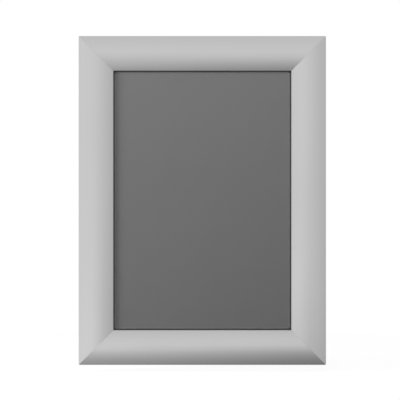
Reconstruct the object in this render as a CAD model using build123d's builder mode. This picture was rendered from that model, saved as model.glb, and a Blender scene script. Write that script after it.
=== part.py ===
from build123d import *
import math
import os

# A snap-open frame for one A4 sheet, hung flat on a wall.
# X runs across the frame, Z up it and Y back into the wall. All lengths are in millimetres.
# The origin lies on the wall, in the middle of the four screw holes.
# Each side is drawn as a section: u runs inwards from its outer edge, v forwards from the wall.

# Sheet and overall form
sheet_width = 210.0
sheet_height = 297.0
sheet_lap = 10.0
face_width = 37.0
frame_depth = 15.0
corner_radius = 1.5

# Base rail
web_wall = 1.2
outer_wall = 1.3
hinge_post_wall = 1.1
hinge_post_gap = 2.6
spring_post_wall = 1.2
spring_post_u = 15.7
spring_head_overhang = 1.8
spring_seat_overhang = 0.8
spring_head_rise = 1.3
stop_wall = 1.2
stop_rise = 0.4
pocket_clearance = 0.5
ledge_wall = 1.2
base_setback = 1.5
root_radius = 0.4
head_radius = 0.5
rim_radius = 0.3

# Bead and hook that hinge each cover on its base rail
hinge_v = 5.4
bead_radius = 1.2
hinge_clearance = 0.08
hook_wall = 1.0
hook_inner_angle = 12
hook_outer_angle = 210
neck_wall = 1.1
neck_angle = -24
open_clearance = 0.3

# Cover rail
cover_wall = 1.2
end_skin = 1.12
edge_radius = 1.2
lip_wall = 1.2
lip_edge_radius = 0.3
inner_radius = 0.5
hook_edge_radius = 0.25
lip_clearance = 0.05
rib_gap = 0.4
rib_wall = 1.4
rib_toe = 1.0
rib_radius = 0.4
mitre_gap = 0.2
end_gap = 0.5
relief_clearance = 0.2

# Leaf springs
spring_thickness = 0.4
spring_width = 30.0
spring_cover_end_v = 3.2
spring_base_end_v = 10.1
spring_bow_angle = 60
notch_depth = 0.55
notch_clearance = 0.1
spring_spread_tall = 80.0
spring_spread_wide = 55.0

# Sheets in the pocket
board_thickness = 1.5
print_gap = 0.1
clear_thickness = 0.5

# Corner brackets, staked through the back of the rails
bracket_thickness = 1.8
bracket_clearance = 0.1
bracket_headroom = 0.2
bracket_arm = 40.0
bracket_chamfer = 1.0
stake_from_end = 12.0
stake_radius = 1.3
stake_clearance = 0.2
stake_height = 1.0
dimple_radius = 1.1
dimple_depth = 0.9

# Screw holes in the two tall base rails
hole_radius = 2.25
hole_from_end = 45.0

# Shares of the hook's mouth at which the wedge that opens it has a point
mouth_shares = (0, 0.5, 1)

# Sizes that follow from those above
frame_width = sheet_width + 2 * (face_width - sheet_lap)
frame_height = sheet_height + 2 * (face_width - sheet_lap)
hook_radius = bead_radius + hinge_clearance + hook_wall
hinge_u = hook_radius
hinge_post_u = hinge_u + hinge_post_gap
hinge_post_inner_u = hinge_post_u + hinge_post_wall
outer_wall_v = hinge_v - hook_radius - open_clearance
sheet_u = face_width - sheet_lap
stop_inner_u = sheet_u - pocket_clearance
ledge_end_u = face_width - base_setback
channel_end_u = ledge_end_u - ledge_wall
ledge_v = web_wall + bracket_thickness + bracket_headroom + ledge_wall
board_front_v = ledge_v + board_thickness
clear_back_v = board_front_v + print_gap
clear_front_v = clear_back_v + clear_thickness
lip_v = clear_front_v + lip_clearance
rib_u = hinge_post_inner_u + rib_gap
rib_inner_u = rib_u + rib_wall
rib_foot_v = spring_cover_end_v - rib_toe
spring_head_u = spring_post_u - spring_head_overhang
spring_head_v = spring_base_end_v - notch_depth
hole_u = (hinge_post_inner_u + spring_head_u) / 2
relief_v = hinge_v + hook_radius + relief_clearance
edge_height = relief_v + end_skin
hook_reach = -hook_radius * math.sin(math.radians(hook_outer_angle))
hook_relief = hinge_u + hook_reach + end_gap
rib_reach = math.hypot(rib_inner_u - hinge_u, hinge_v - rib_foot_v)
rib_relief = hinge_u + rib_reach + end_gap
stake_u = (stop_inner_u + channel_end_u) / 2
bracket_corner_u = stop_inner_u + bracket_clearance
stake_distance = bracket_corner_u + bracket_arm - stake_from_end

# The dome of the cover is one arc, level at mid width and edge_height above the wall at both edges
dome_rise = frame_depth - edge_height
dome_radius = ((face_width / 2) ** 2 + dome_rise**2) / (2 * dome_rise)
dome_centre_v = frame_depth - dome_radius

# Each spring is an arc that bows towards the wall between its seats on the cover and on the base
cover_seat = Vector(rib_inner_u - notch_depth, spring_cover_end_v)
base_seat = Vector(spring_post_u - spring_seat_overhang, spring_base_end_v)
spring_chord = base_seat - cover_seat
chord_angle = math.degrees(math.atan2(spring_chord.Y, spring_chord.X))
spring_radius = spring_chord.length / 2 / math.sin(math.radians(spring_bow_angle))
bow_direction = chord_angle - 90
bow_depth = spring_radius * math.cos(math.radians(spring_bow_angle))
spring_centre = (cover_seat + base_seat) / 2 - Vector(bow_depth, 0).rotate(Axis.Z, bow_direction)

# Section plane of each side: its x runs inwards, its y forwards and its z along the rail
section_planes = {
    "top": Plane(origin=(0, 0, frame_height / 2), x_dir=(0, 0, -1), z_dir=(-1, 0, 0)),
    "bottom": Plane(origin=(0, 0, -frame_height / 2), x_dir=(0, 0, 1), z_dir=(1, 0, 0)),
    "left": Plane(origin=(-frame_width / 2, 0, 0), x_dir=(1, 0, 0), z_dir=(0, 0, -1)),
    "right": Plane(origin=(frame_width / 2, 0, 0), x_dir=(-1, 0, 0), z_dir=(0, 0, 1)),
}
wide_sides = ("top", "bottom")
spring_names = {
    "top": ("right", "left"),
    "bottom": ("left", "right"),
    "left": ("upper", "lower"),
    "right": ("lower", "upper"),
}


def rail_size(side):
    """Length of a side's rails, and the size of the frame across them."""
    if side in wide_sides:
        return frame_width, frame_height
    return frame_height, frame_width


def plan_plane(side):
    """Plane of the wall with its x along the rail and its y inwards from the outer edge."""
    section = section_planes[side]
    return Plane(origin=section.origin, x_dir=section.z_dir, z_dir=section.y_dir)


def dome_height(u, inset):
    """Height of the dome at u, or of the surface that lies inset below it."""
    return dome_centre_v + math.sqrt((dome_radius - inset) ** 2 - (u - face_width / 2) ** 2)


def neck_height(u, edge):
    """Height at u of the neck between post and bead: edge is 1 for its front, 0 for its middle, -1 for its back."""
    slope = math.radians(neck_angle)
    return hinge_v + (u - hinge_u) * math.tan(slope) + edge * neck_wall / 2 / math.cos(slope)


def on_circle(centre, radius, angle):
    """Point of a section at an angle on a circle."""
    return centre + Vector(radius, 0).rotate(Axis.Z, angle)


def draw_strip(u_from, u_to, v_from, v_to):
    """Adds a rectangle between two places in u and two in v to the section being drawn."""
    with Locations((u_from, v_from)):
        Rectangle(u_to - u_from, v_to - v_from, align=(Align.MIN, Align.MIN))


def cut_spring_notch(seat, outward_angle):
    """Cuts the slot in which a spring's end sits, along the spring's line at that end."""
    slot_length = notch_depth + notch_clearance + spring_thickness
    middle = on_circle(seat, notch_clearance - slot_length / 2, outward_angle)
    with Locations(Location(middle, (0, 0, outward_angle))):
        Rectangle(slot_length, spring_thickness + 2 * notch_clearance, mode=Mode.SUBTRACT)


def round_section_corner(u, v, radius):
    """Rounds the corner of the section being drawn that lies nearest to a place."""
    fillet(vertices().sort_by_distance((u, v))[0], radius)


def base_rail_section():
    """Section of a base rail: web, walls, hinge post with its bead, spring post, and sheet ledge."""
    spring_post_inner_u = spring_post_u + spring_post_wall
    with BuildSketch() as section:
        draw_strip(0, ledge_end_u, 0, web_wall)
        draw_strip(0, outer_wall, 0, outer_wall_v)
        draw_strip(hinge_post_u, hinge_post_inner_u, 0, neck_height(hinge_post_u, 0))
        with BuildLine():
            Polyline(
                (hinge_u, neck_height(hinge_u, 1)),
                (hinge_post_inner_u, neck_height(hinge_post_inner_u, 1)),
                (hinge_post_inner_u, neck_height(hinge_post_inner_u, -1)),
                (hinge_u, neck_height(hinge_u, -1)),
                close=True,
            )
        make_face()
        with Locations((hinge_u, hinge_v)):
            Circle(bead_radius)
        draw_strip(spring_post_u, spring_post_inner_u, 0, spring_head_v)
        draw_strip(spring_head_u, spring_post_inner_u, spring_head_v, spring_base_end_v + spring_head_rise)
        cut_spring_notch(base_seat, chord_angle + spring_bow_angle)
        draw_strip(stop_inner_u - stop_wall, stop_inner_u, 0, clear_front_v + stop_rise)
        draw_strip(stop_inner_u, ledge_end_u, ledge_v - ledge_wall, ledge_v)
        draw_strip(channel_end_u, ledge_end_u, 0, ledge_v)
        for foot_u in (
            outer_wall,
            hinge_post_u,
            hinge_post_inner_u,
            spring_post_u,
            spring_post_inner_u,
            stop_inner_u - stop_wall,
        ):
            round_section_corner(foot_u, web_wall, root_radius)
        for head_u in (spring_head_u, spring_post_inner_u):
            round_section_corner(head_u, spring_base_end_v + spring_head_rise, head_radius)
        for rim_u, rim_v in (
            (0, 0),
            (0, outer_wall_v),
            (outer_wall, outer_wall_v),
            (hinge_post_inner_u, neck_height(hinge_post_inner_u, 1)),
            (stop_inner_u - stop_wall, clear_front_v + stop_rise),
            (stop_inner_u, clear_front_v + stop_rise),
            (ledge_end_u, ledge_v),
            (ledge_end_u, 0),
        ):
            round_section_corner(rim_u, rim_v, rim_radius)
    return section.sketch


def cover_rail_section():
    """Section of a cover rail: domed shell with flank and lip, hook round the bead, and spring rib."""
    hinge = Vector(hinge_u, hinge_v)
    hollow_from = cover_wall
    hollow_to = face_width - lip_wall
    mouth = 360 + hook_inner_angle - hook_outer_angle
    mouth_angles = [hook_outer_angle + mouth * share for share in mouth_shares]
    with BuildSketch() as section:
        with BuildLine():
            ThreePointArc((0, edge_height), (face_width / 2, frame_depth), (face_width, edge_height))
            Polyline((face_width, edge_height), (face_width, lip_v), (0, lip_v), (0, edge_height))
        make_face()
        with BuildLine():
            ThreePointArc(
                (hollow_from, dome_height(hollow_from, cover_wall)),
                (face_width / 2, frame_depth - cover_wall),
                (hollow_to, dome_height(hollow_to, cover_wall)),
            )
            Polyline(
                (hollow_to, dome_height(hollow_to, cover_wall)),
                (hollow_to, lip_v),
                (hollow_from, lip_v),
                (hollow_from, dome_height(hollow_from, cover_wall)),
            )
        make_face(mode=Mode.SUBTRACT)
        draw_strip(0, cover_wall, hinge_v, lip_v)
        with Locations(hinge):
            Circle(hook_radius)
        with BuildLine():
            Polyline(hinge, *[on_circle(hinge, 2 * hook_radius, angle) for angle in mouth_angles], close=True)
        make_face(mode=Mode.SUBTRACT)
        with Locations(hinge):
            Circle(bead_radius + hinge_clearance, mode=Mode.SUBTRACT)
        with BuildLine():
            Polyline(
                (rib_u, rib_foot_v),
                (rib_inner_u, rib_foot_v),
                (rib_inner_u, dome_height(rib_inner_u, cover_wall / 2)),
                (rib_u, dome_height(rib_u, cover_wall / 2)),
                close=True,
            )
        make_face()
        cut_spring_notch(cover_seat, 180 + chord_angle - spring_bow_angle)
        round_section_corner(0, edge_height, edge_radius)
        for lip_corner in ((face_width, edge_height), (face_width, lip_v), (hollow_to, lip_v)):
            round_section_corner(*lip_corner, lip_edge_radius)
        for shell_u in (hollow_from, hollow_to):
            round_section_corner(shell_u, dome_height(shell_u, cover_wall), inner_radius)
        for rib_side_u in (rib_u, rib_inner_u):
            round_section_corner(rib_side_u, dome_height(rib_side_u, cover_wall), rib_radius)
            round_section_corner(rib_side_u, rib_foot_v, rib_radius)
        for hook_angle in (hook_inner_angle, hook_outer_angle):
            hook_end = on_circle(hinge, hook_radius, hook_angle)
            round_section_corner(hook_end.X, hook_end.Y, hook_edge_radius)
    return section.sketch


def mitred_plan(side, joint_gap):
    """Plan of a rail: a trapezium between its mitres, within the rounded outer corners of the frame."""
    length, across = rail_size(side)
    end = length / 2 - joint_gap / math.sqrt(2)
    with BuildSketch() as plan:
        with BuildLine():
            Polyline((-end, 0), (end, 0), (end - face_width, face_width), (face_width - end, face_width), close=True)
        make_face()
        with Locations((0, across / 2)):
            RectangleRounded(length, across, corner_radius, mode=Mode.INTERSECT)
    return plan.sketch


def cover_end_plan(side):
    """Plan of what is cut from below a cover's ends, so that it opens past its shut neighbours."""
    length, _ = rail_size(side)
    with BuildSketch() as plan:
        for end in (-1, 1):
            with Locations((end * (length - hook_relief) / 2, hook_relief / 2)):
                Rectangle(hook_relief, hook_relief)
            with Locations((end * (length - rib_relief) / 2, (hook_relief + rib_relief) / 2)):
                Rectangle(rib_relief, rib_relief - hook_relief)
    return plan.sketch


def write_part(part, name):
    """Names a finished piece and writes it to its own file."""
    part.label = name
    export_step(part, f"parts/{name}.step")


def build_base_rail(side):
    """Base rail of one side, with a staked dimple near each end and, on a tall side, two screw holes."""
    length, _ = rail_size(side)
    plan = plan_plane(side)
    stake_x = length / 2 - stake_distance
    hole_x = length / 2 - hole_from_end
    with BuildPart() as base_rail:
        with BuildSketch(section_planes[side]):
            add(base_section)
        extrude(amount=length / 2, both=True)
        with BuildSketch(plan):
            add(mitred_plan(side, 0))
        extrude(amount=frame_depth, mode=Mode.INTERSECT)
        with BuildSketch(plan.offset(web_wall)):
            with Locations((stake_x, stake_u), (-stake_x, stake_u)):
                Circle(stake_radius)
        extrude(amount=stake_height)
        with BuildSketch(plan):
            with Locations((stake_x, stake_u), (-stake_x, stake_u)):
                Circle(dimple_radius)
        extrude(amount=dimple_depth, mode=Mode.SUBTRACT)
        if side not in wide_sides:
            with BuildSketch(plan):
                with Locations((hole_x, hole_u), (-hole_x, hole_u)):
                    Circle(hole_radius)
            extrude(amount=web_wall, mode=Mode.SUBTRACT)
    write_part(base_rail.part, f"base_rail_{side}")


def build_cover_rail(side):
    """Snap cover of one side."""
    length, _ = rail_size(side)
    plan = plan_plane(side)
    with BuildPart() as cover_rail:
        with BuildSketch(section_planes[side]):
            add(cover_section)
        extrude(amount=length / 2, both=True)
        with BuildSketch(plan):
            add(mitred_plan(side, mitre_gap))
        extrude(amount=frame_depth, mode=Mode.INTERSECT)
        with BuildSketch(plan):
            add(cover_end_plan(side))
        extrude(amount=relief_v, mode=Mode.SUBTRACT)
    write_part(cover_rail.part, f"cover_rail_{side}")


def build_spring(side, place, name):
    """Leaf spring of one side, centred on a place along the rail."""
    start = bow_direction - spring_bow_angle
    stop = bow_direction + spring_bow_angle
    inner = spring_radius - spring_thickness / 2
    outer = spring_radius + spring_thickness / 2
    with BuildPart() as spring:
        with BuildSketch(section_planes[side].offset(place)):
            with BuildLine():
                ThreePointArc(*[on_circle(spring_centre, inner, angle) for angle in (start, bow_direction, stop)])
                ThreePointArc(*[on_circle(spring_centre, outer, angle) for angle in (start, bow_direction, stop)])
                for angle in (start, stop):
                    Line(on_circle(spring_centre, inner, angle), on_circle(spring_centre, outer, angle))
            make_face()
        extrude(amount=spring_width / 2, both=True)
    write_part(spring.part, f"spring_{side}_{name}")


def build_bracket(right, up):
    """Flat L bracket in the channels of two base rails: right and up are 1 or -1 for its corner."""
    near = bracket_corner_u
    wide = channel_end_u - bracket_clearance
    far = near + bracket_arm
    outline = ((near, near), (far, near), (far, wide), (wide, wide), (wide, far), (near, far))
    holes = ((stake_distance, stake_u), (stake_u, stake_distance))

    def at_corner(places):
        return [(right * (frame_width / 2 - x), up * (frame_height / 2 - z)) for x, z in places]

    inside = at_corner([(wide, wide)])[0]
    with BuildPart() as bracket:
        with BuildSketch(Plane.XZ.offset(web_wall)) as flat:
            with BuildLine():
                Polyline(*at_corner(outline), close=True)
            make_face()
            sharp = [flat.vertices().sort_by_distance(place)[0] for place in at_corner(outline) if place != inside]
            chamfer(sharp, bracket_chamfer)
            with Locations(*at_corner(holes)):
                Circle(stake_radius + stake_clearance, mode=Mode.SUBTRACT)
        extrude(amount=bracket_thickness)
    vertical = "top" if up > 0 else "bottom"
    horizontal = "right" if right > 0 else "left"
    write_part(bracket.part, f"corner_bracket_{vertical}_{horizontal}")


def build_sheet(back_v, thickness, name):
    """Flat sheet in the pocket, the size of the picture."""
    with BuildPart() as sheet:
        with BuildSketch(Plane.XZ.offset(back_v)):
            Rectangle(sheet_width, sheet_height)
        extrude(amount=thickness)
    write_part(sheet.part, name)


os.makedirs("parts", exist_ok=True)
base_section = base_rail_section()
cover_section = cover_rail_section()

for side in section_planes:
    spread = spring_spread_wide if side in wide_sides else spring_spread_tall
    build_base_rail(side)
    build_cover_rail(side)
    for direction, name in zip((-1, 1), spring_names[side]):
        build_spring(side, direction * spread, name)

for right in (-1, 1):
    for up in (-1, 1):
        build_bracket(right, up)

build_sheet(ledge_v, board_thickness, "backing_board")
build_sheet(clear_back_v, clear_thickness, "clear_cover")
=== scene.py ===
import math

import bpy
from mathutils import Matrix, Vector


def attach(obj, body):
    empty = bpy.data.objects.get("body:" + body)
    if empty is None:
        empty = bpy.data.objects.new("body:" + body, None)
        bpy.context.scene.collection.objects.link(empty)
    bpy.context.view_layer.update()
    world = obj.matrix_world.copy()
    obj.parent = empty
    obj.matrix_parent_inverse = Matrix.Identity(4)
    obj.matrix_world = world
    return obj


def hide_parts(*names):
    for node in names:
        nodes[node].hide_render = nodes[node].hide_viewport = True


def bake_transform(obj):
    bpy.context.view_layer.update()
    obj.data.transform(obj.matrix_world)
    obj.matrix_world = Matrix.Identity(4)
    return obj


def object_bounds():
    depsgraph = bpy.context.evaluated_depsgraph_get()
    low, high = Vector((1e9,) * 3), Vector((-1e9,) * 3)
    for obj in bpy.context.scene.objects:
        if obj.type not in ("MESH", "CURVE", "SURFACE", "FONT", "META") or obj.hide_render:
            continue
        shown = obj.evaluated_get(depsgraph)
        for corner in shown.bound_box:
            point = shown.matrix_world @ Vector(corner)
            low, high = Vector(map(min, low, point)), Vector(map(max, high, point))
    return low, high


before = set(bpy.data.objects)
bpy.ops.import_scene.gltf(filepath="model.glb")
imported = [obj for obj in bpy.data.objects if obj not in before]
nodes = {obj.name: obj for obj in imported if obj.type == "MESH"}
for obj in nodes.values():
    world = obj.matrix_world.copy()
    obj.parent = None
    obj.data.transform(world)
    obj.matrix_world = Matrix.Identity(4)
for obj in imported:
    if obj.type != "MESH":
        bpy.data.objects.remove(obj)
cad_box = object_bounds()
bpy.ops.object.select_all(action="DESELECT")

MM = 0.001
SIDES = ("top", "bottom", "left", "right")
TURNS = {"top": 0, "right": 90, "bottom": 180, "left": -90}

# The frame, in millimetres. Each side is drawn as a section: u runs inwards from its outer
# edge, v forwards from the wall.
FRAME_WIDTH = 264.0
FRAME_HEIGHT = 351.0
FRAME_DEPTH = 15.0
FACE_WIDTH = 37.0
CORNER_RADIUS = 1.5
MITRE_GAP = 0.05

# Cover rail
HINGE = Vector((2.28, 5.4))
HOOK_OUTER = 2.28
HOOK_INNER = 1.28
HOOK_MOUTH = (12.0, 210.0)
HOOK_EDGE_RADIUS = 0.25
COVER_WALL = 1.2
EDGE_HEIGHT = 9.0
EDGE_RADIUS = 1.2
LIP_FOOT = 6.55
LIP_EDGE_RADIUS = 0.12
INNER_RADIUS = 0.5
RIB_SIDES = (6.38, 7.78)
RIB_FOOT = 2.2
RIB_RADIUS = 0.4
HOOK_RELIEF = 3.92
RIB_RELIEF = 9.14
RELIEF_HEIGHT = 7.88
CORNER_OVERCUT = 0.02

# The dome is an arc over the whole face
DOME_RISE = FRAME_DEPTH - EDGE_HEIGHT
DOME_RADIUS = ((FACE_WIDTH / 2) ** 2 + DOME_RISE**2) / (2 * DOME_RISE)
DOME_CENTRE = Vector((FACE_WIDTH / 2, FRAME_DEPTH - DOME_RADIUS))

# Leaf springs, each on a seat of the cover and one of the base rail
COVER_SEAT = Vector((7.23, 3.2))
BASE_SEAT = Vector((14.9, 10.1))
SPRING_BOW = 60.0
SPRING_THICKNESS = 0.4
SPRING_WIDTH = 30.0
SPRING_EDGE_BEVEL = 0.06
SPRING_BEVEL_STEPS = 2
SPRING_SPREAD = {"top": 55.0, "bottom": 55.0, "left": 80.0, "right": 80.0}
SPRING_NAMES = {
    "top": ("left", "right"),
    "bottom": ("right", "left"),
    "left": ("lower", "upper"),
    "right": ("upper", "lower"),
}
NOTCH_LENGTH = 0.1
NOTCH_HALF = 0.3

# Steps of the spun arcs
EDGE_STEPS = 12
DOME_STEPS = 90
LIP_EDGE_STEPS = 10
LIP_FOOT_STEPS = 8
DOME_INSIDE_STEPS = 60
DOME_OVER_HOOK_STEPS = 16
HOOK_OUTER_STEPS = 24
HOOK_INNER_STEPS = 40
HOOK_EDGE_STEPS = 5
ROUNDING_STEPS = 6
CORNER_STEPS = 14
SPRING_STEPS = 32

# Workshop values
WELD = 0.0005
SAW_WELD = 0.0001
CUT_MARGIN = 1.0
SAWN_TURN = 0.3
SMOOTH_ANGLE = math.radians(25)

# Patterns of the finishes: scale, detail and roughness
EXTRUSION_LINES = (900.0, 4.0, 0.6)
EXTRUSION_STRETCH = 0.004
METAL_CLOUDS = (14.0, 3.0, 0.5)
METAL_GRAIN = (5200.0, 2.0, 0.5)
METAL_GRAIN_SHARE = 0.5
SAW_MARKS = (1500.0, 3.0, 0.6)
SAW_MARK_STRETCH = 0.03
ZINC_BLOOM = (60.0, 4.0, 0.5)
ZINC_SPECKLE = (1800.0, 2.0, 0.5)
STEEL_PATCHES = (120.0, 3.0, 0.5)
STEEL_GRAIN = (2600.0, 3.0, 0.5)
BOARD_CLOUDS = (9.0, 2.0, 0.5)
BOARD_FIBRE = (2400.0, 3.0, 0.5)
SHEET_GRAIN = (3200.0, 2.0, 0.5)
EVEN = (1.0, 1.0, 1.0)
PATTERN_SPAN = (0.3, 0.7)

# Colours, roughness and relief (depth in metres, strength) of the finishes
COVER_GREYS, COVER_ROUGHNESS, COVER_RELIEF = (0.655, 0.635), (0.40, 0.44), (0.00001, 0.35)
BASE_GREYS, BASE_ROUGHNESS, BASE_RELIEF = (0.58, 0.50), (0.32, 0.46), (0.00002, 0.35)
SAWN_GREYS, SAWN_ROUGHNESS, SAWN_RELIEF = (0.70, 0.55), (0.22, 0.42), (0.00003, 0.4)
ZINC_COLOURS = ((0.55, 0.57, 0.60, 1), (0.62, 0.60, 0.53, 1))
ZINC_ROUGHNESS, ZINC_RELIEF = (0.28, 0.45), (0.00001, 0.3)
STEEL_COLOURS = ((0.13, 0.15, 0.19, 1), (0.22, 0.22, 0.23, 1))
STEEL_ROUGHNESS, STEEL_RELIEF = (0.22, 0.38), (0.00001, 0.3)
BOARD_GREYS, BOARD_ROUGHNESS, BOARD_RELIEF = (0.090, 0.097), (0.62, 0.78), (0.00002, 0.3)
SHEET_ROUGHNESS, SHEET_RELIEF = (0.26, 0.34), (0.00001, 0.2)

# Clear sheet, and the shade painted into it in the crevice where a lip stands on it
CREVICE_REACH = 3.2 * MM
CREVICE_SAMPLES = 12
CREVICE_OPENNESS = (0.76, 0.93)
CREVICE_END = (0.1 * MM, 0.4 * MM)
SHEET_GREY, PAINTED_SHADE_GREY = 0.6, 0.005
SHEET_ALPHA, PAINTED_SHADE_ALPHA = 0.10, 0.85
FRONT_NORMAL = -0.5

# Camera, set square to the front as in the photo
PHOTO_PIXELS = 400
PIXEL = 1.067 * MM
CAMERA_DISTANCE = 2.0
CAMERA_REACH = 100.0
SENSOR_WIDTH = 36.0
OUTLINE_DEPTH = 9 * MM
FRAME_OFFSET_RIGHT = 2.32 * PIXEL
FRAME_OFFSET_DOWN = 0.45 * PIXEL

# Studio light: each passage has its start and end and the light at each
STUDIO_LEVEL = 0.56
METAL_LEVEL = 1.0
FALL_RIGHT = (-0.12, 1.0, 1.0, 0.73)
RISE_UP = (-0.95, 0.0, 0.42, 1.0)
FALL_ABOVE = (0.0, 1.0, 1.0, 0.84)
LAMPS = {
    "side_lamp": (Vector((-0.80, -0.36, 0.25)), 0.30, 5.6),
    "top_lamp": (Vector((0.08, -0.34, 0.46)), 0.22, 0.8),
}

# Floor: the bottom cover swings down to just above it
FLOOR_SIDES = 96
FLOOR_RADIUS = 0.6
FLOOR_DROP = 7.5
FLOOR_COLOUR = 0.35
FLOOR_SHADOW = 0.12
FLOOR_WHITE = 0.92
# Painted shade in the floor as metal sees it: darker near the frame and towards the right
FLOOR_SHADE_NEAR_FRAME = (0.0, 0.25, 0.82, 1.0)
FLOOR_SHADE_TO_RIGHT = (-0.2, 0.12, 1.34, 0.76)
FLOOR_SHADE_ENDS_RIGHT = (0.1, 0.2, 0.0, 1.0)


# Materials
def grey(value):
    """A neutral colour of one linear value."""
    return (value, value, value, 1.0)


class NodePlan:
    """The nodes of a finish, the floor or the studio, linked as they are added."""

    def __init__(self, tree):
        self.nodes, self.links = tree.nodes, tree.links

    def put(self, socket, value):
        """Links an input to a node's output, or sets it to a plain value."""
        if isinstance(value, bpy.types.NodeSocket):
            self.links.new(value, socket)
        else:
            socket.default_value = value

    def add(self, kind, inputs=None, **settings):
        """Adds a node with its settings and its inputs."""
        node = self.nodes.new(f"ShaderNode{kind}")
        for key, value in settings.items():
            setattr(node, key, value)
        for key, value in (inputs or {}).items():
            self.put(node.inputs[key], value)
        return node

    def math(self, operation, first, second):
        """A sum of two values or outputs."""
        node = self.add("Math", {0: first, 1: second}, operation=operation)
        return node.outputs["Value"]

    def grade(self, value, start, end, low, high):
        """An even passage from low to high as the value goes from start to end."""
        node = self.add("MapRange", {
            "Value": value,
            "From Min": start,
            "From Max": end,
            "To Min": low,
            "To Max": high,
        })
        return node.outputs["Result"]

    def mix(self, share, first, second):
        """One colour passing into another by a share."""
        colours = {"Factor": share, "A": first, "B": second}
        return self.add("Mix", colours, data_type="RGBA").outputs["Result"]

    def position(self):
        """The three parts of the place on the object."""
        place = self.add("TexCoord").outputs["Object"]
        return self.add("SeparateXYZ", {"Vector": place}).outputs

    def pattern(self, kind, stretch=EVEN):
        """A noise pattern, which runs out into lines along an axis that is squeezed."""
        scale, detail, roughness = kind
        place = self.add("TexCoord").outputs["Object"]
        place = self.add("Mapping", {"Vector": place, "Scale": stretch}).outputs["Vector"]
        node = self.add("TexNoise", {
            "Vector": place,
            "Scale": scale,
            "Detail": detail,
            "Roughness": roughness,
        })
        return node.outputs["Fac"]

    def spread(self, pattern, low, high):
        """A pattern brought into a range."""
        return self.grade(pattern, *PATTERN_SPAN, low, high)

    def tint(self, pattern, first, second):
        """A pattern's passage from one colour to another."""
        return self.mix(self.spread(pattern, 0.0, 1.0), first, second)

    def relief(self, height, depth, strength):
        """A bumped normal from a height."""
        bump = self.add("Bump", {"Height": height, "Distance": depth, "Strength": strength})
        return bump.outputs["Normal"]


class Finish(NodePlan):
    """A material in the making."""

    def __init__(self, name):
        self.material = bpy.data.materials.new(name)
        self.material.use_nodes = True
        super().__init__(self.material.node_tree)

    def made(self, colour, roughness, normal, metallic=0.0, alpha=1.0):
        """The material, with its surface set."""
        surface = self.nodes["Principled BSDF"]
        for key, value in {
            "Base Color": colour,
            "Roughness": roughness,
            "Normal": normal,
            "Metallic": metallic,
            "Alpha": alpha,
        }.items():
            self.put(surface.inputs[key], value)
        return self.material


def extruded_aluminium(name, run, greys, roughness, relief):
    """Aluminium profile with its extrusion lines along the run, which is 0 for X and 2 for Z."""
    finish = Finish(name)
    stretch = [EXTRUSION_STRETCH if axis == run else 1.0 for axis in range(3)]
    lines = finish.pattern(EXTRUSION_LINES, stretch)
    grain = finish.spread(finish.pattern(METAL_GRAIN), 0.0, METAL_GRAIN_SHARE)
    return finish.made(
        finish.tint(lines, grey(greys[0]), grey(greys[1])),
        finish.spread(finish.pattern(METAL_CLOUDS), *roughness),
        finish.relief(finish.math("ADD", lines, grain), *relief),
        metallic=1.0,
    )


def sawn_aluminium():
    """Bare metal of the sawn ends, with fine marks of the blade across it."""
    finish = Finish("sawn_aluminium")
    marks = finish.pattern(SAW_MARKS, (1.0, SAW_MARK_STRETCH, 1.0))
    return finish.made(
        finish.tint(marks, grey(SAWN_GREYS[0]), grey(SAWN_GREYS[1])),
        finish.spread(marks, *SAWN_ROUGHNESS),
        finish.relief(marks, *SAWN_RELIEF),
        metallic=1.0,
    )


def zinc_plate():
    """Bright zinc with a faint passivated bloom."""
    finish = Finish("zinc_plate")
    speckle = finish.pattern(ZINC_SPECKLE)
    return finish.made(
        finish.tint(finish.pattern(ZINC_BLOOM), *ZINC_COLOURS),
        finish.spread(speckle, *ZINC_ROUGHNESS),
        finish.relief(speckle, *ZINC_RELIEF),
        metallic=1.0,
    )


def spring_steel():
    """Blued spring strip, a little patchy, with a film of oil."""
    finish = Finish("spring_steel")
    grain = finish.pattern(STEEL_GRAIN)
    return finish.made(
        finish.tint(finish.pattern(STEEL_PATCHES), *STEEL_COLOURS),
        finish.spread(grain, *STEEL_ROUGHNESS),
        finish.relief(grain, *STEEL_RELIEF),
        metallic=1.0,
    )


def board_face():
    """Matt dark grey board."""
    finish = Finish("dark_grey_board")
    fibre = finish.pattern(BOARD_FIBRE)
    return finish.made(
        finish.tint(finish.pattern(BOARD_CLOUDS), grey(BOARD_GREYS[0]), grey(BOARD_GREYS[1])),
        finish.spread(fibre, *BOARD_ROUGHNESS),
        finish.relief(fibre, *BOARD_RELIEF),
    )


def from_window_edge(finish):
    """Distance outwards from the edge of the window, less than zero within it."""
    place = finish.position()
    beyond = []
    for axis, size in (("X", FRAME_WIDTH), ("Z", FRAME_HEIGHT)):
        reach = finish.math("ABSOLUTE", place[axis], 0.0)
        beyond.append(finish.math("SUBTRACT", reach, (size / 2 - FACE_WIDTH) * MM))
    return finish.math("MAXIMUM", *beyond)


def painted_crevice_shade(finish):
    """Share of the shade painted in the crevice: on the sheet's front, within the window and by a
    lip.
    """
    # Painted shade: the sheet goes dark where ambient occlusion finds the lip's crevice
    openness = finish.add("AmbientOcclusion", {"Distance": CREVICE_REACH}, samples=CREVICE_SAMPLES)
    painted_shade = finish.grade(openness.outputs["AO"], *CREVICE_OPENNESS, 1.0, 0.0)
    surface = finish.add("NewGeometry").outputs
    facing = finish.add("SeparateXYZ", {"Vector": surface["Normal"]}).outputs["Y"]
    on_front = finish.math("LESS_THAN", facing, FRONT_NORMAL)
    on_front = finish.math("SUBTRACT", on_front, surface["Backfacing"])
    painted_shade = finish.math("MULTIPLY", painted_shade, finish.math("MAXIMUM", on_front, 0.0))
    within = finish.grade(from_window_edge(finish), *CREVICE_END, 1.0, 0.0)
    return finish.math("MULTIPLY", painted_shade, within)


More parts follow.
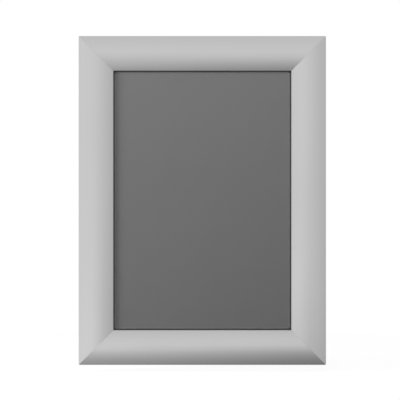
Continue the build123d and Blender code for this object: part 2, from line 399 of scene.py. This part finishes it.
def clear_plastic():
    """Thin anti-glare plastic sheet, with shade painted dark into its colour and alpha in the
    crevice by a lip that stands on it.
    """
    finish = Finish("anti_glare_sheet")
    # Painted shade: the crevice mask darkens the sheet's colour and makes it nearly opaque by the
    # lips
    painted_shade = painted_crevice_shade(finish)
    grain = finish.pattern(SHEET_GRAIN)
    return finish.made(
        finish.mix(painted_shade, grey(SHEET_GREY), grey(PAINTED_SHADE_GREY)),
        finish.spread(grain, *SHEET_ROUGHNESS),
        finish.relief(grain, *SHEET_RELIEF),
        alpha=finish.grade(painted_shade, 0.0, 1.0, SHEET_ALPHA, PAINTED_SHADE_ALPHA),
    )


def finish_node(name, material):
    """Gives a CAD node its material."""
    mesh = nodes[name].data
    mesh.materials.clear()
    mesh.materials.append(material)


# Drawing of the sections
def in_space(u, v, along=0.0):
    """A place of the section in metres, for a lying rail with its outer edge at the height zero."""
    return Vector((along, -v, -u)) * MM


def polar(centre, radius, degrees):
    """A place of the section at an angle on a circle."""
    angle = math.radians(degrees)
    return centre + radius * Vector((math.cos(angle), math.sin(angle)))


def weld():
    """Joins what the pen drew twice in one place."""
    bpy.ops.mesh.select_all(action="SELECT")
    bpy.ops.mesh.remove_doubles(threshold=WELD * MM)


def pull_out(length):
    """Pulls what is selected out along the rail."""
    bpy.ops.mesh.extrude_region_move(TRANSFORM_OT_translate={"value": (length * MM, 0, 0)})


class Outline:
    """A line drawn with a pen in the section plane: straight runs and spun arcs."""

    def __init__(self, start, along):
        self.at = Vector(start)
        self.along = along
        bpy.ops.object.select_all(action="DESELECT")
        bpy.ops.mesh.primitive_plane_add(size=MM, location=in_space(*self.at, along))
        bpy.ops.object.mode_set(mode="EDIT")
        bpy.ops.mesh.merge(type="CENTER")

    def line(self, *end):
        """Draws a straight run."""
        step = in_space(*(Vector(end) - self.at))
        bpy.ops.mesh.extrude_region_move(TRANSFORM_OT_translate={"value": step})
        self.at = Vector(end)

    def arc(self, centre, end, turn, steps):
        """Draws an arc about a centre to a place: turn is 1 against the clock and -1 with it."""
        first, last = self.at - centre, Vector(end) - centre
        sweep = math.atan2(last.y, last.x) - math.atan2(first.y, first.x)
        sweep = turn * ((turn * sweep) % (2 * math.pi))
        centre = in_space(*centre, self.along)
        bpy.ops.mesh.spin(steps=steps, angle=sweep, center=centre, axis=(1, 0, 0))
        self.at = Vector(end)

    def fill(self, length):
        """Closes the line, fills it and pulls it out to a bar."""
        weld()
        bpy.ops.mesh.edge_face_add()
        pull_out(length)


def shell_corner(wall_u, into, shell_radius, radius):
    """Rounding between an upright wall and a shell of the dome: foot on the wall, centre, end."""
    centre_u = wall_u + into * radius
    rise = math.sqrt((shell_radius - radius) ** 2 - (centre_u - DOME_CENTRE.x) ** 2)
    centre = Vector((centre_u, DOME_CENTRE.y + rise))
    end = DOME_CENTRE + (centre - DOME_CENTRE).normalized() * shell_radius
    return Vector((wall_u, centre.y)), centre, end


def draw_face(pen):
    """Draws the flank, the dome and the lip down to its foot."""
    wall, centre, shell = shell_corner(0, 1, DOME_RADIUS, EDGE_RADIUS)
    pen.line(*wall)
    pen.arc(centre, shell, -1, EDGE_STEPS)
    wall, centre, shell = shell_corner(FACE_WIDTH, -1, DOME_RADIUS, LIP_EDGE_RADIUS)
    pen.arc(DOME_CENTRE, shell, -1, DOME_STEPS)
    pen.arc(centre, wall, -1, LIP_EDGE_STEPS)

    lip_back = FACE_WIDTH - COVER_WALL
    foot_rise = LIP_FOOT + LIP_EDGE_RADIUS
    foot_end = FACE_WIDTH - LIP_EDGE_RADIUS
    pen.line(FACE_WIDTH, foot_rise)
    pen.arc(Vector((foot_end, foot_rise)), (foot_end, LIP_FOOT), -1, LIP_FOOT_STEPS)
    foot_end = lip_back + LIP_EDGE_RADIUS
    pen.line(foot_end, LIP_FOOT)
    pen.arc(Vector((foot_end, foot_rise)), (lip_back, foot_rise), -1, LIP_FOOT_STEPS)


def draw_notch(pen):
    """Draws the notch of the rib that holds the leaf springs."""
    chord = BASE_SEAT - COVER_SEAT
    lean = 180 + math.degrees(math.atan2(chord.y, chord.x)) - SPRING_BOW
    inwards = polar(Vector((0, 0)), 1, lean)
    across = Vector((inwards.y, -inwards.x))
    for lift in (NOTCH_HALF, -NOTCH_HALF):
        end = COVER_SEAT + inwards * NOTCH_LENGTH + across * lift
        mouth = end + inwards * (RIB_SIDES[1] - end.x) / inwards.x
        for place in (mouth, end) if lift > 0 else (end, mouth):
            pen.line(*place)


def draw_inside(pen):
    """Draws the underside of the dome with its rib, back to the wall over the hook."""
    inner_radius = DOME_RADIUS - COVER_WALL
    wall, centre, shell = shell_corner(FACE_WIDTH - COVER_WALL, -1, inner_radius, INNER_RADIUS)
    pen.line(*wall)
    pen.arc(centre, shell, 1, ROUNDING_STEPS)
    wall, centre, shell = shell_corner(RIB_SIDES[1], 1, inner_radius, RIB_RADIUS)
    pen.arc(DOME_CENTRE, shell, 1, DOME_INSIDE_STEPS)
    pen.arc(centre, wall, 1, ROUNDING_STEPS)
    draw_notch(pen)

    toe = RIB_FOOT + RIB_RADIUS
    toe_end = RIB_SIDES[1] - RIB_RADIUS
    pen.line(RIB_SIDES[1], toe)
    pen.arc(Vector((toe_end, toe)), (toe_end, RIB_FOOT), -1, ROUNDING_STEPS)
    toe_end = RIB_SIDES[0] + RIB_RADIUS
    pen.line(toe_end, RIB_FOOT)
    pen.arc(Vector((toe_end, toe)), (RIB_SIDES[0], toe), -1, ROUNDING_STEPS)
    wall, centre, shell = shell_corner(RIB_SIDES[0], -1, inner_radius, RIB_RADIUS)
    pen.line(*wall)
    pen.arc(centre, shell, 1, ROUNDING_STEPS)
    wall, centre, shell = shell_corner(COVER_WALL, 1, inner_radius, INNER_RADIUS)
    pen.arc(DOME_CENTRE, shell, 1, DOME_OVER_HOOK_STEPS)
    pen.arc(centre, wall, 1, ROUNDING_STEPS)


def draw_hook(pen):
    """Draws the hook that wraps round the bead, back to the start on the flank."""
    drop = math.sqrt(HOOK_OUTER**2 - (HINGE.x - COVER_WALL) ** 2)
    pen.line(COVER_WALL, HINGE.y + drop)
    round_at = HOOK_OUTER - HOOK_EDGE_RADIUS
    lean = math.degrees(math.asin(HOOK_EDGE_RADIUS / round_at))
    reach = math.sqrt(round_at**2 - HOOK_EDGE_RADIUS**2)
    near, far = HOOK_MOUTH
    pen.arc(HINGE, polar(HINGE, HOOK_OUTER, near + lean), -1, HOOK_OUTER_STEPS)
    pen.arc(polar(HINGE, round_at, near + lean), polar(HINGE, reach, near), -1, HOOK_EDGE_STEPS)
    pen.line(*polar(HINGE, HOOK_INNER, near))
    pen.arc(HINGE, polar(HINGE, HOOK_INNER, far), 1, HOOK_INNER_STEPS)
    pen.line(*polar(HINGE, reach, far))
    outside = polar(HINGE, HOOK_OUTER, far - lean)
    pen.arc(polar(HINGE, round_at, far - lean), outside, -1, HOOK_EDGE_STEPS)
    pen.arc(HINGE, (0, HINGE.y), -1, ROUNDING_STEPS)


# Cutting and placing
def mitre(end):
    """Saws both ends of the bar in edit mode at 45 degrees."""
    for way in (-1, 1):
        bpy.ops.mesh.select_all(action="SELECT")
        bpy.ops.mesh.bisect(
            plane_co=(way * end * MM, 0, 0),
            plane_no=(way, 0, -1),
            use_fill=True,
            clear_outer=True,
            threshold=SAW_WELD * MM,
        )


def select_only(piece):
    """Selects one piece and makes it the active one."""
    bpy.ops.object.select_all(action="DESELECT")
    piece.select_set(True)
    bpy.context.view_layer.objects.active = piece


def cut_away(bar, cutter):
    """Cuts a bar with another shape, which is then thrown away."""
    modifier = bar.modifiers.new("cut", "BOOLEAN")
    modifier.operation = "DIFFERENCE"
    modifier.object = cutter
    modifier.solver = "EXACT"
    select_only(bar)
    bpy.ops.object.modifier_apply(modifier=modifier.name)
    bpy.data.objects.remove(cutter)


def block(low, high):
    """A block between two corners of a lying rail: (along, u, v) each."""
    a, b = in_space(low[1], low[2], low[0]), in_space(high[1], high[2], high[0])
    bpy.ops.object.select_all(action="DESELECT")
    scale = [abs(side) for side in b - a]
    bpy.ops.mesh.primitive_cube_add(size=1, location=(a + b) / 2, scale=scale)
    return bpy.context.object


def corner_cutter(way, length):
    """The rounding of one outer corner of the frame, to be cut from the tip of a lying rail."""
    centre = Vector((CORNER_RADIUS - CORNER_OVERCUT, way * (length / 2 - CORNER_RADIUS)))
    beyond = way * (length / 2 + CUT_MARGIN)
    pen = Outline((-CUT_MARGIN, centre.y), -CUT_MARGIN)
    pen.line(-CORNER_OVERCUT, centre.y)
    pen.arc(centre, (centre.x, centre.y + way * CORNER_RADIUS), -way, CORNER_STEPS)
    pen.line(centre.x, beyond)
    pen.line(-CUT_MARGIN, beyond)
    pen.fill(FRAME_DEPTH + 2 * CUT_MARGIN)
    bpy.ops.mesh.select_all(action="SELECT")
    quarter = math.radians(90)
    bpy.ops.transform.rotate(value=quarter, orient_axis="Z", center_override=(0, 0, 0))
    bpy.ops.mesh.normals_make_consistent(inside=False)
    bpy.ops.object.mode_set(mode="OBJECT")
    return bpy.context.object


def settle(piece, side):
    """Turns a lying piece about Y into its side's place and applies it, smooth but for edges."""
    select_only(piece)
    across = FRAME_HEIGHT if side in ("top", "bottom") else FRAME_WIDTH
    place = side_place(side) @ Matrix.Translation((0, 0, across / 2 * MM))
    piece.matrix_world = place @ piece.matrix_world
    bpy.ops.object.transform_apply(location=True, rotation=True, scale=True)
    bpy.ops.object.shade_smooth_by_angle(angle=SMOOTH_ANGLE)


def side_place(side):
    """The turn of a lying rail to its side."""
    return Matrix.Rotation(math.radians(TURNS[side]), 4, "Y")


def copy_of(piece, name):
    """A copy of a finished piece with a mesh of its own."""
    twin = piece.copy()
    twin.data = piece.data.copy()
    twin.name = name
    bpy.context.scene.collection.objects.link(twin)
    return twin


# Snap covers
def build_cover(length):
    """A snap cover that lies along X, its outer edge at the height zero."""
    pen = Outline((0, HINGE.y), -length / 2)
    draw_face(pen)
    draw_inside(pen)
    draw_hook(pen)
    pen.fill(length)
    mitre(length / 2 - MITRE_GAP / math.sqrt(2))
    bpy.ops.mesh.select_all(action="SELECT")
    bpy.ops.mesh.normals_make_consistent(inside=False)
    bpy.ops.object.mode_set(mode="OBJECT")
    cover = bpy.context.object
    under = -CUT_MARGIN
    for way in (-1, 1):
        tip = way * (length / 2 + CUT_MARGIN)
        hook, rib = way * (length / 2 - HOOK_RELIEF), way * (length / 2 - RIB_RELIEF)
        over_hook = (hook, HOOK_RELIEF + CUT_MARGIN, RELIEF_HEIGHT)
        cut_away(cover, block((tip, under, under), over_hook))
        cut_away(cover, block((tip, HOOK_RELIEF, under), (rib, RIB_RELIEF, RELIEF_HEIGHT)))
        cut_away(cover, corner_cutter(way, length))
    for face in cover.data.polygons:
        face.material_index = 1 if abs(face.normal.x) > SAWN_TURN else 0
    return cover


def make_covers(lying_metal, standing_metal):
    """The four snap covers."""
    sawn = sawn_aluminium()
    for pair, length, metal in (
        (("top", "bottom"), FRAME_WIDTH, lying_metal),
        (("right", "left"), FRAME_HEIGHT, standing_metal),
    ):
        first = build_cover(length)
        for piece, side in zip((first, copy_of(first, "twin")), pair):
            settle(piece, side)
            piece.name = f"snap_cover_{side}"
            piece.data.materials.append(metal)
            piece.data.materials.append(sawn)
            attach(piece, f"{side}_cover")
            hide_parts(f"cover_rail_{side}")


# Leaf springs
def build_spring(middle):
    """A bowed leaf spring of a lying rail, from its seat on the cover to that on the base."""
    chord = BASE_SEAT - COVER_SEAT
    bow = math.radians(SPRING_BOW)
    radius = chord.length / 2 / math.sin(bow)
    towards_wall = math.degrees(math.atan2(chord.y, chord.x)) - 90
    centre = polar((COVER_SEAT + BASE_SEAT) / 2, -radius * math.cos(bow), towards_wall)
    pen = Outline(COVER_SEAT, middle - SPRING_WIDTH / 2)
    pen.arc(centre, BASE_SEAT, 1, SPRING_STEPS)
    weld()
    pull_out(SPRING_WIDTH)
    bpy.ops.object.mode_set(mode="OBJECT")
    strip = bpy.context.object
    bevel = {"width": SPRING_EDGE_BEVEL * MM, "segments": SPRING_BEVEL_STEPS}
    for kind, values in (
        ("SOLIDIFY", {"thickness": SPRING_THICKNESS * MM, "offset": 0}),
        ("BEVEL", {**bevel, "limit_method": "ANGLE"}),
    ):
        modifier = strip.modifiers.new(kind.lower(), kind)
        for key, value in values.items():
            setattr(modifier, key, value)
        bpy.ops.object.modifier_apply(modifier=modifier.name)
    return strip


def make_springs():
    """The eight leaf springs, bent between base rail and cover."""
    steel = spring_steel()
    for side in SIDES:
        for way, place in zip((-1, 1), SPRING_NAMES[side]):
            piece = build_spring(way * SPRING_SPREAD[side])
            settle(piece, side)
            piece.name = f"leaf_spring_{side}_{place}"
            piece.data.materials.append(steel)
            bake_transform(piece)
            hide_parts(f"spring_{side}_{place}")


# Floor, light and camera
def make_floor():
    """Pale floor, white to the eye, that keeps the frame's shadow; metal sees the studio through
    it, with shade painted in near the frame and towards the right.
    """
    bpy.ops.mesh.primitive_circle_add(
        vertices=FLOOR_SIDES,
        radius=FLOOR_RADIUS,
        fill_type="NGON",
        location=(0, 0, cad_box[0].z - FLOOR_DROP * MM),
    )
    floor = bpy.context.object
    floor.name = "studio_floor"
    finish = Finish("studio_floor")
    finish.nodes.clear()
    output = finish.add("OutputMaterial")
    rays = finish.add("LightPath").outputs
    seen = finish.math("MAXIMUM", rays["Is Camera Ray"], rays["Is Transmission Ray"])
    colour = finish.mix(seen, grey(FLOOR_COLOUR), grey(FLOOR_SHADOW))
    lit = finish.add("BsdfDiffuse", {"Color": colour})
    glow = finish.add("Emission", {"Strength": finish.math("MULTIPLY", seen, FLOOR_WHITE)})
    white = finish.add("AddShader", {0: lit.outputs[0], 1: glow.outputs[0]})

    # Painted shade: for glossy rays the floor lets the studio through, dimmed near the frame where
    # its shadow lies and towards the right as the light falls
    place = finish.position()
    away = finish.grade(finish.math("ABSOLUTE", place["Y"], 0.0), *FLOOR_SHADE_NEAR_FRAME)
    right = finish.grade(place["X"], *FLOOR_SHADE_TO_RIGHT)
    right = finish.math("MAXIMUM", right, finish.grade(place["X"], *FLOOR_SHADE_ENDS_RIGHT))
    in_metal = finish.add("BsdfTransparent", {"Color": finish.math("MULTIPLY", away, right)})
    ways = {0: rays["Is Glossy Ray"], 1: white.outputs[0], 2: in_metal.outputs[0]}
    finish.put(output.inputs["Surface"], finish.add("MixShader", ways).outputs[0])
    floor.data.materials.append(finish.material)


def light_studio():
    """White studio whose light falls off to the right, above and below."""
    world = bpy.data.worlds.new("studio")
    bpy.context.scene.world = world
    world.use_nodes = True
    plan = NodePlan(world.node_tree)
    rays = plan.add("LightPath").outputs
    way = plan.add("TexCoord").outputs["Generated"]
    way = plan.add("SeparateXYZ", {"Vector": way}).outputs
    fall = plan.math(
        "MULTIPLY",
        plan.grade(way["X"], *FALL_RIGHT),
        plan.grade(way["Z"], *RISE_UP),
    )
    fall = plan.math("MULTIPLY", fall, plan.grade(way["Z"], *FALL_ABOVE))
    lit = plan.math("MULTIPLY", fall, STUDIO_LEVEL)
    in_metal = plan.math("MULTIPLY", rays["Is Glossy Ray"], METAL_LEVEL - STUDIO_LEVEL)
    lit = plan.math("ADD", lit, plan.math("MULTIPLY", in_metal, fall))
    seen = plan.math("MAXIMUM", rays["Is Camera Ray"], rays["Is Transmission Ray"])
    levels = {"Factor": seen, "A": lit, "B": 1.0}
    strength = plan.add("Mix", levels, data_type="FLOAT").outputs["Result"]
    background = plan.nodes["Background"]
    plan.put(background.inputs["Color"], grey(1.0))
    plan.put(background.inputs["Strength"], strength)


def hang_lamps():
    """Soft lamps low over the picture, which set off its edges without a glare on the metal."""
    for name, (place, size, power) in LAMPS.items():
        data = bpy.data.lights.new(name, "AREA")
        data.shape = "DISK"
        data.size = size
        data.energy = power
        lamp = bpy.data.objects.new(name, data)
        bpy.context.scene.collection.objects.link(lamp)
        lamp.location = place
        lamp.rotation_euler = place.to_track_quat("Z", "Y").to_euler()
        lamp.visible_glossy = False


def set_camera():
    """Camera square to the frame, where the photo was taken from."""
    data = bpy.data.cameras.new("camera")
    data.sensor_width = SENSOR_WIDTH
    data.lens = SENSOR_WIDTH * CAMERA_DISTANCE / (PHOTO_PIXELS * PIXEL)
    data.clip_end = CAMERA_REACH
    camera = bpy.data.objects.new("camera", data)
    bpy.context.scene.collection.objects.link(camera)
    away = CAMERA_DISTANCE + OUTLINE_DEPTH
    camera.location = (-FRAME_OFFSET_RIGHT, -away, FRAME_OFFSET_DOWN)
    camera.rotation_euler = (math.radians(90), 0, 0)
    bpy.context.scene.camera = camera


covers = (COVER_GREYS, COVER_ROUGHNESS, COVER_RELIEF)
bases = (BASE_GREYS, BASE_ROUGHNESS, BASE_RELIEF)
cover_lying = extruded_aluminium("satin_anodised_lying", 0, *covers)
cover_standing = extruded_aluminium("satin_anodised_standing", 2, *covers)
base_lying = extruded_aluminium("mill_aluminium_lying", 0, *bases)
base_standing = extruded_aluminium("mill_aluminium_standing", 2, *bases)
for side in SIDES:
    lying = side in ("top", "bottom")
    finish_node(f"cover_rail_{side}", cover_lying if lying else cover_standing)
    finish_node(f"base_rail_{side}", base_lying if lying else base_standing)

zinc = zinc_plate()
for vertical in ("top", "bottom"):
    for horizontal in ("left", "right"):
        finish_node(f"corner_bracket_{vertical}_{horizontal}", zinc)
finish_node("backing_board", board_face())
finish_node("clear_cover", clear_plastic())

make_covers(cover_lying, cover_standing)
make_springs()
make_floor()
light_studio()
hang_lamps()
set_camera()
bpy.context.scene.view_settings.view_transform = "Standard"
